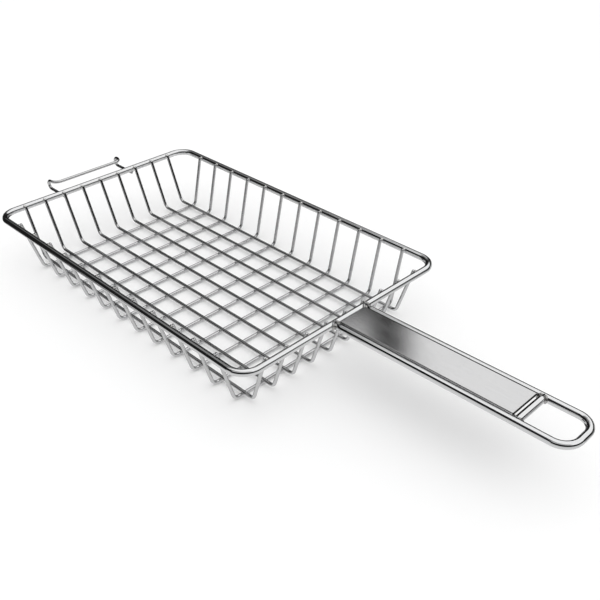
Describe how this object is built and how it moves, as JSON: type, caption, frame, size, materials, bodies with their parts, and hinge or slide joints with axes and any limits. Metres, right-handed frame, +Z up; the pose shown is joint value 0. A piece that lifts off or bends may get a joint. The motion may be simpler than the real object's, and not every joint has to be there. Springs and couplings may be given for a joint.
{
  "type": "grill basket",
  "caption": "Open-topped rectangular grill basket of crossed stainless wires welded to a thick rim wire, with a long flat-gripped wire handle and a rear hook, for grilling food.",
  "frame": {"origin": "centre of the basket's footprint, level with the undersides of the cross wires it stands on", "axes": "+Z up, +X along the basket towards the handle, Y across it; the XZ plane is the plane of symmetry"},
  "size_m": [0.5935, 0.2264, 0.0576],
  "materials": {
    "heavy_wire": "polished stainless steel wire",
    "mesh_wire": "polished stainless steel wire, thin",
    "grip_plate": "satin, fine mottled grain with faint strokes along the handle",
    "weld_bead": "rippled weld metal, slightly heat tinted"
  },
  "bodies": {
    "root": {"rim_wire": "heavy_wire", "cross_wire_01": "mesh_wire", "cross_wire_02": "mesh_wire", "cross_wire_03": "mesh_wire", "cross_wire_04": "mesh_wire", "cross_wire_05": "mesh_wire", "cross_wire_06": "mesh_wire", "cross_wire_07": "mesh_wire", "cross_wire_08": "mesh_wire", "cross_wire_09": "mesh_wire", "cross_wire_10": "mesh_wire", "cross_wire_11": "mesh_wire", "cross_wire_12": "mesh_wire", "long_wire_1": "mesh_wire", "long_wire_2": "mesh_wire", "long_wire_3": "mesh_wire", "long_wire_4": "mesh_wire", "long_wire_5": "mesh_wire", "long_wire_6": "mesh_wire", "long_wire_7": "mesh_wire", "long_wire_8": "mesh_wire", "long_wire_9": "mesh_wire", "handle_frame": "heavy_wire", "handle_plate": "grip_plate", "handle_cross_bar": "heavy_wire", "handle_welds": "weld_bead", "bar_welds": "weld_bead", "rear_hook": "mesh_wire", "hook_welds": "weld_bead"}
  },
  "joints": []
}
